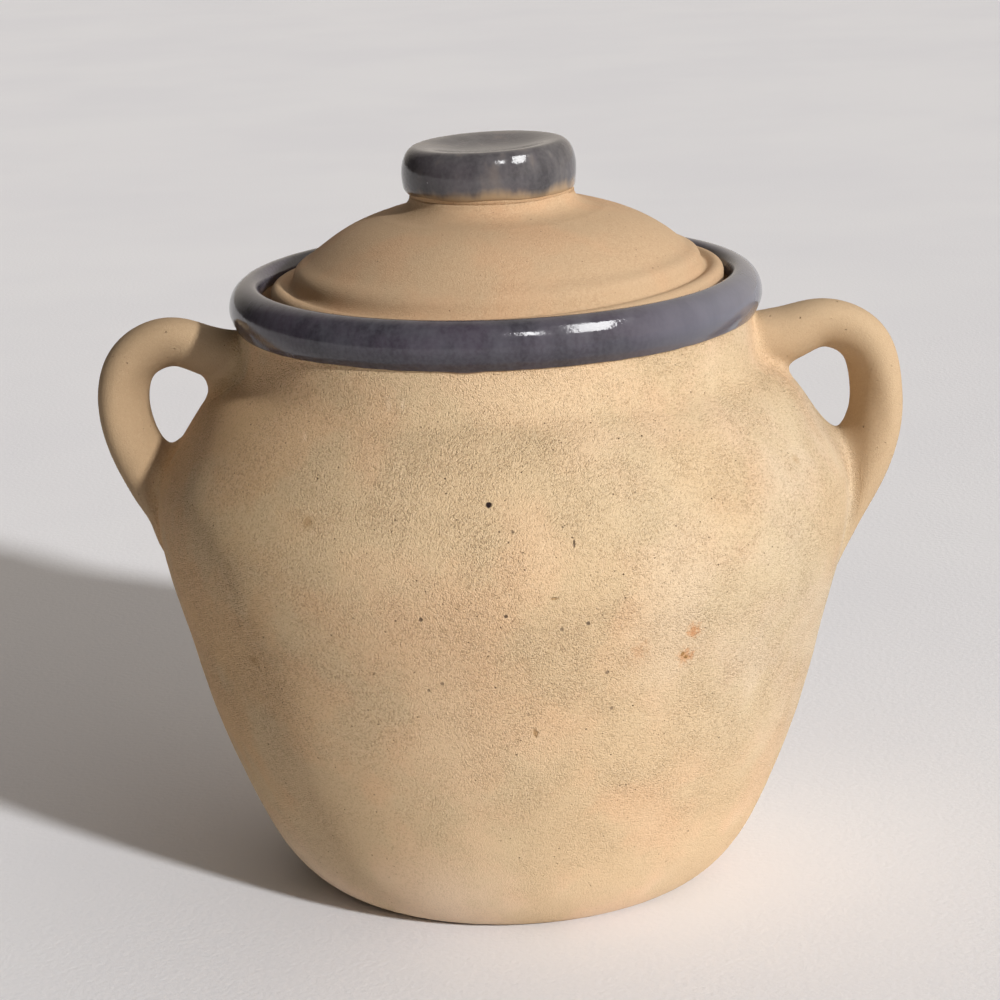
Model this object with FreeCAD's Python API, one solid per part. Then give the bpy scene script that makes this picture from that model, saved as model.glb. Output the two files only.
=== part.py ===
import FreeCAD, Part

import math
import os

from FreeCAD import Vector

os.makedirs("parts", exist_ok=True)

# Stoneware bean pot with a loose lid.  Millimetres, +Z up.  The origin is the centre of the
# standing face, and the two ear handles point along +X and -X.

# Thrown wall, outside
foot_radius = 42.0          # edge of the standing face
heel_reach = 7.0            # the rounded heel runs out this far beyond the foot
heel_height = 5.0
belly_radius = 74.8         # widest
belly_height = 83.0
crease_radius = 56.9        # soft hollow between shoulder and neck
shoulder_rise = 29.8        # belly to crease
neck_taper = 2.2            # the neck draws in from the crease up to the rim
neck_rise = 10.3

# How the outline swells from heel to belly and draws in from belly to crease:
# (share of the height, share of the change in radius)
flank_shape = ((0.19, 0.33), (0.45, 0.62), (0.71, 0.825))
shoulder_shape = ((0.26, 0.065), (0.52, 0.31), (0.77, 0.59), (0.93, 0.86))

# Thickness of the clay
wall = 5.5
floor = 7.0
foot_ring = 7.0             # width of the standing ring
foot_recess = 1.2           # hollow inside the ring

# Rolled rim and the gallery that carries the lid
roll_overhang = 1.9         # the roll stands out this far beyond the neck
roll_drop = 6.1             # from the roll's widest line down to the neck
roll_rise = 3.3             # and up to its crest
roll_outer = 4.4            # crest to outside
roll_inner = 1.8            # crest to the lip inside
gallery_depth = 7.0         # crest down to the ledge
gallery_width = 5.9
gallery_thickness = 4.5

# Ear handles
grip_thickness = 10.2       # seen from the front
grip_width = 13.0           # front to back
root_swell = 2.6            # added to the half thickness where an ear meets the wall
root_spread = 3.4           # added to the half width there
ear_clearance = 0.15        # between the root's top and the glaze on the roll

# Middle of an ear's clay: (out, up, share of the swell at the root).  The first run is measured
# from the neck's top, the second from the belly's radius and the neck's height, and the third
# from the belly's widest line.
ear_at_neck = ((-3.0, -8.5, 1.0), (3.5, -7.9, 0.9), (8.8, -6.0, 0.45), (14.8, -4.0, 0.0))
ear_outside = ((4.1, -8.2, 0.0), (6.8, -17.1, 0.0))
ear_at_belly = ((5.4, 15.2, 0.2), (2.6, 8.8, 0.4), (-0.9, 2.8, 0.6), (-5.9, -4.5, 0.65))
section_points = 12

# Glaze
coat = 0.4
rim_coat_inside = 3.6       # the rim's coat ends this far down inside the lip

# Lid
lid_gap = 1.6               # play between the lid's edge and the glazed lip
edge_height = 5.2           # thickness of the lid's edge
bead_width = 3.2
groove_depth = 0.6
seat_overhang = 3.1         # the lid's flat ring reaches this far in past the ledge
lid_wall = 5.0
crown_rise = 2.5            # the underside rises this much more inside the flare
dome_rise = 15.8            # groove up to where the knob's neck starts to flare
flare_radius = 24.0
flare_rise = 4.0

# How the dome swells from the groove up to the flare: (share of the rise, share of the way in)
dome_shape = ((0.28, 0.055), (0.51, 0.245), (0.69, 0.43), (0.83, 0.62), (0.925, 0.81))

# Knob
knob_neck_radius = 17.5
knob_radius = 18.2
knob_height = 10.2          # above the neck, to the crest
knob_middle = 4.9           # above the neck, to the widest line
knob_crest_radius = 15.2
knob_dish = 1.8             # hollow in the top
dish_share = 0.7            # part of that depth reached halfway in
knob_bare = 0.7             # clay left bare below the knob's glaze

QUARTER = math.sqrt(0.5)    # middle weight that makes a conic a quarter of an ellipse

heel_radius = foot_radius + heel_reach
crease_height = belly_height + shoulder_rise
neck_radius = crease_radius - neck_taper
neck_height = crease_height + neck_rise
roll_height = neck_height + roll_drop
rim_height = roll_height + roll_rise
rim_radius = neck_radius + roll_overhang
crest_radius = rim_radius - roll_outer
lip_radius = crest_radius - roll_inner
gallery_height = rim_height - gallery_depth
throat_radius = lip_radius - gallery_width
lid_radius = lip_radius - coat - lid_gap
seat_radius = throat_radius - seat_overhang
groove_radius = lid_radius - bead_width
groove_height = gallery_height + edge_height - groove_depth
flare_height = groove_height + dome_rise
knob_base = flare_height + flare_rise


def at(radius, height):
    return Vector(radius, 0, height)


def line(start, end):
    return Part.makeLine(start, end)


def conic(start, corner, end, weight=QUARTER):
    """Arc from start to end, tangent to the lines from both of them to corner."""
    arc = Part.BezierCurve()
    arc.setPoles([start, corner, end])
    arc.setWeight(2, weight)
    return arc.toShape()


def spline(points, first=None, last=None):
    """Smooth curve through the points, with its end directions where they are given."""
    curve = Part.BSplineCurve()
    if first and last:
        curve.interpolate(Points=points, InitialTangent=first, FinalTangent=last)
    else:
        curve.interpolate(Points=points)
    return curve


def between(start, end, shape):
    """Points part of the way from start to end, by (share of the height, share of the radius)."""
    radius_step = end.x - start.x
    height_step = end.z - start.z
    return [at(start.x + far * radius_step, start.z + up * height_step) for up, far in shape]


def inward(curve, point, distance):
    """The point moved square to the curve, to the inner side of a wall that runs upwards."""
    along = curve.tangent(curve.parameter(point))[0]
    return point + Vector(-along.z, 0, along.x) * distance


def turned(edges):
    """Solid of revolution about Z of the closed outline that the edges make."""
    outline = Part.Wire(Part.__sortEdges__(edges))
    return Part.Face(outline).revolve(Vector(0, 0, 0), Vector(0, 0, 1), 360)


def flank_points():
    heel = at(heel_radius, heel_height)
    belly = at(belly_radius, belly_height)
    return [heel] + between(heel, belly, flank_shape) + [belly]


def shoulder_points():
    belly = at(belly_radius, belly_height)
    crease = at(crease_radius, crease_height)
    return between(belly, crease, shoulder_shape) + [crease]


def outer_curve():
    foot = at(foot_radius, 0)
    neck = at(neck_radius, neck_height)
    points = [foot] + flank_points() + shoulder_points() + [neck]
    return spline(points, Vector(1.0, 0, 0.35), Vector(-0.1, 0, 1.0))


def inner_skin(outer, depth):
    """The wall's inside, from the axis over the floor to the underside of the gallery."""
    lift = depth - wall
    corner = at(foot_radius - wall, floor + lift)
    points = [inward(outer, point, depth) for point in (flank_points() + shoulder_points())[1:]]
    throat = at(throat_radius, gallery_height - gallery_thickness)
    slope = throat - points[-1]
    slope.normalize()
    throat = throat + Vector(-slope.z, 0, slope.x) * lift
    side = spline([corner] + points, Vector(1, 0, 0), slope)
    return [line(at(0, corner.z), corner), side.toShape(), line(points[-1], throat)]


def roll_skin(grow):
    """Rolled rim from the top of the neck over the crest to the lip, grown outwards."""
    widest = rim_radius + grow
    lip = lip_radius - grow
    top = rim_height + grow
    under = at(widest, neck_height + roll_drop / 2)
    bottom = conic(at(neck_radius + grow, neck_height), under, at(widest, roll_height))
    outside = conic(at(widest, roll_height), at(widest, top), at(crest_radius, top))
    inside = conic(at(crest_radius, top), at(lip, top), at(lip, roll_height))
    return [bottom, outside, inside]


def make_pot():
    outer = outer_curve()
    recess_radius = foot_radius - foot_ring
    throat_top = at(throat_radius, gallery_height)
    skin = inner_skin(outer, wall)
    outline = [
        line(at(0, foot_recess), at(recess_radius, foot_recess)),
        line(at(recess_radius, foot_recess), at(recess_radius, 0)),
        line(at(recess_radius, 0), at(foot_radius, 0)),
        outer.toShape(),
        *roll_skin(0),
        line(at(lip_radius, roll_height), at(lip_radius, gallery_height)),
        line(at(lip_radius, gallery_height), throat_top),
        line(throat_top, at(throat_radius, gallery_height - gallery_thickness)),
        *skin,
        line(at(0, floor), at(0, foot_recess)),
    ]
    return turned(outline)


def make_rim_glaze():
    end = rim_height - rim_coat_inside
    lip = lip_radius - coat
    return turned([
        line(at(neck_radius, neck_height), at(neck_radius + coat, neck_height)),
        *roll_skin(coat),
        line(at(lip, roll_height), at(lip, end)),
        line(at(lip, end), at(lip_radius, end)),
        line(at(lip_radius, end), at(lip_radius, roll_height)),
        *roll_skin(0),
    ])


def make_liner_glaze():
    outer = outer_curve()
    clay = inner_skin(outer, wall)
    glaze = inner_skin(outer, wall + coat)
    clay_end = clay[-1].Vertexes[-1].Point
    glaze_end = glaze[-1].Vertexes[-1].Point
    edges = clay + glaze + [line(clay_end, glaze_end), line(at(0, floor), at(0, floor + coat))]
    return turned(edges)


def pot_filled():
    """Everything inside the pot's outer surface and the glazed rim, with the ears' clearance."""
    grow = coat + ear_clearance
    neck = at(neck_radius, neck_height)
    bottom, outside, _ = roll_skin(grow)
    crest = at(crest_radius, rim_height + grow)
    return turned([
        line(at(0, 0), at(foot_radius, 0)),
        outer_curve().toShape(),
        line(neck, neck + Vector(grow, 0, 0)),
        bottom,
        outside,
        line(crest, at(0, crest.z)),
        line(at(0, crest.z), at(0, 0)),
    ])


def ear_stations():
    """Middle of the ear from the neck out and down to the belly, and its swell there."""
    runs = [
        (neck_radius, neck_height, ear_at_neck),
        (belly_radius, neck_height, ear_outside),
        (belly_radius, belly_height, ear_at_belly),
    ]
    return [(at(radius + out, height + up), swell)
            for radius, height, run in runs for out, up, swell in run]


def ear_section(middle, along, swell):
    """Oval across the ear, thicker and wider by its share of the root's swell."""
    outward = Vector(along.z, 0, -along.x) * (grip_thickness / 2 + swell * root_swell)
    across = Vector(0, 1, 0) * (grip_width / 2 + swell * root_spread)
    angles = [2 * math.pi * step / section_points for step in range(section_points)]
    points = [middle + outward * math.cos(angle) + across * math.sin(angle) for angle in angles]
    curve = Part.BSplineCurve()
    curve.interpolate(Points=points, PeriodicFlag=True)
    return Part.Wire(curve.toShape())


def make_ear():
    """The ear on the +X side, with both ends cut to the pot's surface."""
    stations = ear_stations()
    path = spline([middle for middle, _ in stations])
    sections = []
    for middle, swell in stations:
        along = path.tangent(path.parameter(middle))[0]
        sections.append(ear_section(middle, along, swell))
    pieces = Part.makeLoft(sections, True, False).cut(pot_filled()).Solids
    return max(pieces, key=lambda piece: piece.Volume)


def dome_points():
    groove = at(groove_radius, groove_height)
    flare = at(flare_radius, flare_height)
    return [groove] + between(groove, flare, dome_shape) + [flare]


def dome_inside(depth):
    """The dome's underside, from the seat's inner edge up to the axis."""
    outside = dome_points()
    curve = spline(outside)
    seat = at(seat_radius - (depth - lid_wall), gallery_height)
    points = [inward(curve, point, depth) for point in outside[2:]]
    top = at(0, points[-1].z + crown_rise)
    return spline([seat] + points + [top], Vector(-0.35, 0, 1), Vector(-1, 0, 0)).toShape()


def make_lid():
    outside = dome_points()
    bead = at(lid_radius - bead_width / 2, gallery_height + edge_height)
    edge_top = at(lid_radius, bead.z - bead_width / 2)
    underside = dome_inside(lid_wall)
    crown = underside.Vertexes[-1].Point
    neck_foot = at(knob_neck_radius, flare_height + flare_rise / 4)
    return turned([
        line(at(seat_radius, gallery_height), at(lid_radius, gallery_height)),
        line(at(lid_radius, gallery_height), edge_top),
        conic(edge_top, at(lid_radius, bead.z), bead),
        conic(bead, at(groove_radius + bead_width / 4, bead.z), outside[0], 1.0),
        spline(outside).toShape(),
        conic(outside[-1], neck_foot, at(knob_neck_radius, knob_base), 1.0),
        line(at(knob_neck_radius, knob_base), at(0, knob_base)),
        line(at(0, knob_base), crown),
        underside,
    ])


def make_lid_liner():
    clay = dome_inside(lid_wall)
    glaze = dome_inside(lid_wall + coat)
    clay_ends = [vertex.Point for vertex in clay.Vertexes]
    glaze_ends = [vertex.Point for vertex in glaze.Vertexes]
    rims = [line(start, end) for start, end in zip(clay_ends, glaze_ends)]
    return turned([clay, glaze, *rims])


def knob_skin(grow):
    """Knob from just above its neck round to the middle of the dished top, grown outwards."""
    start = at(knob_neck_radius + grow, knob_base + knob_bare)
    side = at(knob_radius + grow, knob_base + knob_middle)
    crest = at(knob_crest_radius, knob_base + knob_height + grow)
    middle = at(0, crest.z - knob_dish)
    bulge = at(side.x, knob_base + knob_middle / 2)
    dish = at(crest.x / 2, crest.z - knob_dish * dish_share)
    hollow = spline([crest, dish, middle], Vector(-1, 0, 0), Vector(-1, 0, 0))
    return [
        conic(start, bulge, side),
        conic(side, at(side.x, crest.z), crest),
        hollow.toShape(),
    ]


def make_knob():
    start = at(knob_neck_radius, knob_base + knob_bare)
    top = at(0, knob_base + knob_height - knob_dish)
    return turned([
        line(at(0, knob_base), at(knob_neck_radius, knob_base)),
        line(at(knob_neck_radius, knob_base), start),
        *knob_skin(0),
        line(top, at(0, knob_base)),
    ])


def make_knob_glaze():
    height = knob_base + knob_bare
    top = at(0, knob_base + knob_height - knob_dish)
    return turned([
        line(at(knob_neck_radius, height), at(knob_neck_radius + coat, height)),
        *knob_skin(coat),
        line(top + Vector(0, 0, coat), top),
        *knob_skin(0),
    ])


right_ear = make_ear()
nodes = {
    "pot_body": make_pot(),
    "handle_left": right_ear.mirror(Vector(0, 0, 0), Vector(1, 0, 0)),
    "handle_right": right_ear,
    "rim_glaze": make_rim_glaze(),
    "liner_glaze": make_liner_glaze(),
    "lid_body": make_lid(),
    "lid_knob": make_knob(),
    "knob_glaze": make_knob_glaze(),
    "lid_liner_glaze": make_lid_liner(),
}

for name, shape in nodes.items():
    box = shape.BoundBox
    print(f"{name}: {len(shape.Solids)} solid, {shape.Volume:.0f} mm3, "
          f"z {box.ZMin:.1f} to {box.ZMax:.1f}")
    shape.exportStep(f"parts/{name}.step")
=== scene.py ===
import math

import bpy
import numpy as np
from mathutils import Matrix, Vector


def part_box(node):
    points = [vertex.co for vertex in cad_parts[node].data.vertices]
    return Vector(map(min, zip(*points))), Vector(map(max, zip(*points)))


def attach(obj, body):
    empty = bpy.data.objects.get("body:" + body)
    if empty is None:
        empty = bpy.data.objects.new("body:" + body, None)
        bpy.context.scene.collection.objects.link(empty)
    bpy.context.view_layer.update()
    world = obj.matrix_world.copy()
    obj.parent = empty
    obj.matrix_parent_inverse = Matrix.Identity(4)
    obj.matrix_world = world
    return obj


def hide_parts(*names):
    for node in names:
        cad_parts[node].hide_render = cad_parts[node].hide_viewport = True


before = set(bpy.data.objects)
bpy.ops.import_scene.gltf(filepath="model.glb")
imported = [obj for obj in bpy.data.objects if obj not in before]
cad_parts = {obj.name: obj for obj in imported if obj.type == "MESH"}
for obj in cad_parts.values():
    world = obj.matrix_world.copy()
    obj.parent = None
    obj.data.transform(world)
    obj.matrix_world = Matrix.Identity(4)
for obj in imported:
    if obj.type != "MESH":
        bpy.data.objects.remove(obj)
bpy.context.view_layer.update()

# Shapes are worked out in millimetres, z up, origin in the middle of the standing face.
mm = 0.001
scene = bpy.context.scene
chance = np.random.default_rng(23)


def tone(red, green, blue):
    # Display values 0 to 255 turned into the light values that colour sockets take.
    share = np.array([red, green, blue]) / 255.0
    light = np.where(share <= 0.04045, share / 12.92, ((share + 0.055) / 1.055) ** 2.4)
    return (*light.tolist(), 1.0)


def nodeSizes(node):
    # Largest radius, lowest and highest point of a turned CAD node, in millimetres.
    low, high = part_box(node)
    return high.x / mm, low.z / mm, high.z / mm


bellyRadius, footHeight, rimHeight = nodeSizes("pot_body")
coatRadius, coatLow, coatTop = nodeSizes("rim_glaze")
lidRadius, seatHeight, knobFoot = nodeSizes("lid_body")
knobRadius, knobCoatLow, knobTop = nodeSizes("knob_glaze")
coat = coatTop - rimHeight          # thickness of the glaze


camera = {
    "place": (0.0, -632.56, 253.08),
    "lens": 108.0,
    "turnRight": -0.065,            # degrees
    "lookDown": 15.144,
    "roll": 2.2006,
}


def makeCamera(values):
    turn = math.radians(values["turnRight"])
    down = math.radians(values["lookDown"])
    ahead = Vector((math.sin(turn) * math.cos(down), math.cos(turn) * math.cos(down), -math.sin(down)))
    level = Vector((math.cos(turn), -math.sin(turn), 0.0))
    upward = level.cross(ahead)
    roll = math.radians(values["roll"])
    right = math.cos(roll) * level - math.sin(roll) * upward
    above = math.sin(roll) * level + math.cos(roll) * upward
    data = bpy.data.cameras.new("studioCamera")
    data.lens = values["lens"]
    data.sensor_width = 36.0
    data.clip_start = 0.01
    data.clip_end = 50.0
    item = bpy.data.objects.new("studioCamera", data)
    scene.collection.objects.link(item)
    turned = Matrix((right, above, -ahead)).transposed().to_4x4()
    item.matrix_world = Matrix.Translation(Vector(values["place"]) * mm) @ turned
    scene.camera = item


makeCamera(camera)
print("camera placed")


def unit(vectors, least=0.0):
    # The same ways at length one; a length below least counts as least.
    return vectors / np.maximum(np.linalg.norm(vectors, axis=-1, keepdims=True), least)


def eased(share):
    # 3 share squared - 2 share cubed: from 0 to 1, level at both ends.
    return share ** 2 * (3 - 2 * share)


def curveThrough(points, startWay, endWay, count):
    # Cubic pieces through all the points, joined with equal slope and bend and stepped by chord
    # length in the first two columns. The slope at each end follows the way given there.
    points = np.array(points, float)
    steps = np.linalg.norm(np.diff(points[:, :2], axis=0), axis=1)
    knots = np.concatenate(([0.0], np.cumsum(steps)))
    rise = np.diff(points, axis=0) / steps[:, None]
    size = len(points)
    matrix = np.eye(size)
    right = np.zeros_like(points)
    right[0] = rise[0] if startWay is None else unit(np.array(startWay))
    right[-1] = rise[-1] if endWay is None else unit(np.array(endWay))
    inner = np.arange(1, size - 1)
    matrix[inner, inner - 1] = steps[1:]
    matrix[inner, inner] = 2.0 * (steps[1:] + steps[:-1])
    matrix[inner, inner + 1] = steps[:-1]
    right[inner] = 3.0 * (steps[1:, None] * rise[:-1] + steps[:-1, None] * rise[1:])
    slopes = np.linalg.solve(matrix, right)
    where = np.linspace(0.0, knots[-1], count)
    piece = np.clip(np.searchsorted(knots, where, side="right") - 1, 0, size - 2)
    length = steps[piece][:, None]
    share = (where - knots[piece])[:, None] / length
    back = 1.0 - share
    return (back ** 2 * ((1 + 2 * share) * points[piece] + share * length * slopes[piece])
            + share ** 2 * ((1 + 2 * back) * points[piece + 1] - back * length * slopes[piece + 1]))


def quarterArc(start, corner, end, count):
    # A quarter of an ellipse that leaves start and reaches end along the lines to corner.
    start, corner, end = (np.array(point, float) for point in (start, corner, end))
    turn = np.linspace(0.0, math.pi / 2, count)[:, None]
    return corner + (start - corner) * (1 - np.sin(turn)) + (end - corner) * (1 - np.cos(turn))


def softCorner(start, corner, end, share):
    # A parabola that leaves start and reaches end along the lines to corner.
    return (1 - share) ** 2 * start + 2 * share * (1 - share) * corner + share ** 2 * end


def softBend(start, corner, end, count):
    # The same parabola as a run of points.
    start, corner, end = (np.array(point, float) for point in (start, corner, end))
    return softCorner(start, corner, end, np.linspace(0.0, 1.0, count)[:, None])


def straight(start, end, count):
    share = np.linspace(0.0, 1.0, count)[:, None]
    return np.array(start, float) * (1 - share) + np.array(end, float) * share


def joined(*runs):
    # Runs of profile points one after another, without a double where two of them meet.
    points = np.vstack(runs)
    apart = np.linalg.norm(np.diff(points, axis=0), axis=1) > 1e-4
    return points[np.concatenate(([True], apart))]


def easedLine(start, end, count):
    # The radius goes evenly from start to end, the height slowly at both ends.
    share = np.linspace(0.0, 1.0, count)[:, None]
    share = np.hstack([share, eased(share)])
    return np.array(start, float) * (1 - share) + np.array(end, float) * share


def between(start, end, shape):
    # Points on the way from start to end, given by (share of the height, share of the radius).
    return [(start[0] + far * (end[0] - start[0]), start[1] + up * (end[1] - start[1]))
            for up, far in shape]


def leftNormals(line):
    # Unit normals on the left of a line of (radius, height) points, from its two neighbours.
    way = unit(np.gradient(line, axis=0))
    return np.stack([-way[:, 1], way[:, 0]], axis=1)


def runLengths(line):
    # How far along the line each of its points lies.
    return np.concatenate(([0.0], np.cumsum(np.linalg.norm(np.diff(line, axis=0), axis=1))))


def offLine(line, where, gap):
    # Radius and height at the given runs along a line, moved off it to its right by gap.
    columns = (*line.T, *-leftNormals(line).T)
    radius, height, out, up = (np.interp(where, runLengths(line), column) for column in columns)
    return radius + out * gap, height + up * gap


def waves(count, mostTurns, climb):
    # Each wave goes a whole number of times round the axis, so it closes, and slopes as it climbs.
    return {
        "turns": chance.integers(1, mostTurns + 1, count),
        "climb": chance.normal(0.0, climb, count),
        "start": chance.uniform(0.0, 2 * math.pi, count),
    }


def waved(angle, height, made):
    # Mean of cos(turns * angle + climb * height + start) over the waves, scaled to about +-1.
    total = 0.0
    for turns, climb, start in zip(made["turns"], made["climb"], made["start"]):
        total = total + np.cos(turns * angle + climb * height + start)
    return total / math.sqrt(len(made["turns"]))


def roundGrid(profile, columns):
    # Radius, height and angle at each point of a profile carried once round the axis.
    angle = np.linspace(0.0, 2 * math.pi, columns, endpoint=False)[None, :]
    flat = np.ones((1, columns))
    return profile[:, :1] * flat, profile[:, 1:] * flat, angle * np.ones((len(profile), 1))


def placed(radius, height, angle):
    # x = radius cos(angle), y = radius sin(angle), z = height.
    return np.stack([radius * np.cos(angle), radius * np.sin(angle), height], axis=-1)


def gridFaces(index):
    # Faces between the neighbouring points of a grid of point numbers.
    corners = [index[:-1, :-1], index[:-1, 1:], index[1:, 1:], index[1:, :-1]]
    return np.stack(corners, axis=-1).reshape(-1, 4).tolist()


def skinPiece(name, points, closing, attributes=None):
    # A closed skin over a grid of points, rows along the profile and columns once round. With
    # closing "poles" the first and last rows shrink to one point each, with "ring" the last row
    # joins the first. Seen from outside, columns run to the right as rows run up.
    attributes = attributes or {}
    poles = closing == "poles"
    values = {key: np.asarray(value, float) for key, value in attributes.items()}
    ends = [points[0].mean(axis=0), points[-1].mean(axis=0)]
    endValues = {key: [value[0].mean(), value[-1].mean()] for key, value in values.items()}
    if poles:
        points = points[1:-1]
        values = {key: value[1:-1] for key, value in values.items()}
    rows, columns = points.shape[:2]
    index = np.arange(rows * columns).reshape(rows, columns)
    if not poles:
        index = np.vstack([index, index[:1]])
    index = np.hstack([index, index[:, :1]])
    faces = gridFaces(index)
    vertices = points.reshape(-1, 3)
    if poles:
        first = np.full(columns, rows * columns)
        last = first + 1
        faces += np.stack([first, index[0, 1:], index[0, :-1]], axis=-1).tolist()
        faces += np.stack([index[-1, :-1], index[-1, 1:], last], axis=-1).tolist()
        vertices = np.vstack([vertices, ends])
    mesh = bpy.data.meshes.new(name)
    mesh.from_pydata(vertices * mm, [], faces)
    mesh.shade_smooth()
    for key, value in values.items():
        flat = value.reshape(-1)
        if poles:
            flat = np.concatenate([flat, endValues[key]])
        mesh.attributes.new(key, "FLOAT", "POINT").data.foreach_set("value", flat.astype(np.float32))
    mesh.update()
    piece = bpy.data.objects.new(name, mesh)
    scene.collection.objects.link(piece)
    return piece


def dress(piece, material, body, node):
    piece.data.materials.append(material)
    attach(piece, body)
    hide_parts(node)
    print(f"{piece.name}: {len(piece.data.polygons)} faces")


def addNode(tree, kind, inputs=None, **settings):
    # A node with its settings; an input is a plain value or the socket that feeds it.
    node = tree.nodes.new(kind)
    for key, value in settings.items():
        setattr(node, key, value)
    for key, value in (inputs or {}).items():
        if isinstance(value, bpy.types.NodeSocket):
            tree.links.new(value, node.inputs[key])
        else:
            node.inputs[key].default_value = value
    return node


def maths(tree, operation, first, second=0.0):
    return addNode(tree, "ShaderNodeMath", {0: first, 1: second}, operation=operation).outputs[0]


def plus(tree, first, second):
    return maths(tree, "ADD", first, second)


def minus(tree, first, second):
    return maths(tree, "SUBTRACT", first, second)


def times(tree, first, second):
    return maths(tree, "MULTIPLY", first, second)


def spread(tree, value, low, high, toLow=0.0, toHigh=1.0):
    # Takes low..high smoothly to toLow..toHigh and stays at the ends beyond.
    node = addNode(tree, "ShaderNodeMapRange", {"Value": value, "From Min": low, "From Max": high,
                   "To Min": toLow, "To Max": toHigh}, interpolation_type="SMOOTHSTEP")
    return node.outputs["Result"]


def blendColours(tree, share, first, second):
    # Sockets 0, 6 and 7 of a colour mix are its share and its two colours, and 2 is its result.
    node = addNode(tree, "ShaderNodeMix", {0: share, 6: first, 7: second}, data_type="RGBA")
    return node.outputs[2]


def newGroup(name, inputs, outputs):
    # An empty shader group with its sockets, and its input and output nodes.
    group = bpy.data.node_groups.new(name, "ShaderNodeTree")
    for label, kind, value in inputs:
        socket = group.interface.new_socket(label, in_out="INPUT", socket_type=kind)
        if value is not None:
            socket.default_value = value
    for label in outputs:
        group.interface.new_socket(label, in_out="OUTPUT", socket_type="NodeSocketFloat")
    return group, group.nodes.new("NodeGroupInput"), group.nodes.new("NodeGroupOutput")


def makeSandGrain():
    # Sand in the clay: a rounded grain in each cell of a scattered pattern, each with a height
    # and a tone of its own, broken up by fine noise. Coarser noise groups the stronger ones.
    group, given, out = newGroup("sandGrain", [
        ("Vector", "NodeSocketVector", None),
        ("Scale", "NodeSocketFloat", 2400.0),
        ("Patchiness", "NodeSocketFloat", 0.5),
    ], ["Tone", "Height"])
    cells = addNode(group, "ShaderNodeTexVoronoi", {"Vector": given.outputs["Vector"],
                    "Scale": given.outputs["Scale"], "Randomness": 1.0})
    fine = addNode(group, "ShaderNodeTexNoise", {"Vector": given.outputs["Vector"], "Detail": 1.0,
                   "Scale": times(group, given.outputs["Scale"], 1.7)})
    wide = addNode(group, "ShaderNodeTexNoise", {"Vector": given.outputs["Vector"],
                   "Scale": times(group, given.outputs["Scale"], 0.03), "Detail": 2.0})
    strength = spread(group, wide.outputs["Fac"], 0.3, 0.7, 0.4, 1.0)
    patchy = times(group, minus(group, strength, 1.0), given.outputs["Patchiness"])
    strength = plus(group, patchy, 1.0)
    draw = addNode(group, "ShaderNodeSeparateColor", {"Color": cells.outputs["Color"]})
    grain = spread(group, cells.outputs["Distance"], 0.75, 0.0)
    tall = plus(group, times(group, draw.outputs["Red"], 0.7), 0.3)
    lift = plus(group, times(group, grain, tall), fine.outputs["Fac"])
    drawn = plus(group, times(group, draw.outputs["Green"], 0.7), times(group, fine.outputs["Fac"], 0.6))
    centred = times(group, minus(group, drawn, 0.65), strength)
    group.links.new(plus(group, centred, 0.5), out.inputs["Tone"])
    group.links.new(times(group, lift, strength), out.inputs["Height"])
    return group


def makeClayPits():
    # Pits where sand fell out: one round hole in some of the cells of a scattered cell pattern.
    group, given, out = newGroup("clayPits", [
        ("Vector", "NodeSocketVector", None),
        ("Scale", "NodeSocketFloat", 260.0),
        ("Share", "NodeSocketFloat", 0.25),
        ("Size", "NodeSocketFloat", 0.12),
    ], ["Mask"])
    cells = addNode(group, "ShaderNodeTexVoronoi", {"Vector": given.outputs["Vector"],
                    "Scale": given.outputs["Scale"], "Randomness": 1.0})
    draw = addNode(group, "ShaderNodeSeparateColor", {"Color": cells.outputs["Color"]})
    kept = maths(group, "LESS_THAN", draw.outputs["Red"], given.outputs["Share"])
    size = times(group, given.outputs["Size"], plus(group, times(group, draw.outputs["Green"], 0.8), 0.35))
    hole = spread(group, cells.outputs["Distance"], 0.0, size, 1.0, 0.0)
    group.links.new(times(group, hole, kept), out.inputs["Mask"])
    return group


def makeKilnCloud():
    # Slow drift of tone over the clay or glaze from the firing.
    group, given, out = newGroup("kilnCloud", [
        ("Vector", "NodeSocketVector", None),
        ("Scale", "NodeSocketFloat", 30.0),
        ("Sharpness", "NodeSocketFloat", 0.15),
    ], ["Mask"])
    cloud = addNode(group, "ShaderNodeTexNoise", {"Vector": given.outputs["Vector"],
                    "Scale": given.outputs["Scale"], "Detail": 3.0, "Roughness": 0.55})
    low = plus(group, given.outputs["Sharpness"], 0.3)
    high = minus(group, 0.7, given.outputs["Sharpness"])
    group.links.new(spread(group, cloud.outputs["Fac"], low, high), out.inputs["Mask"])
    return group


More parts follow.
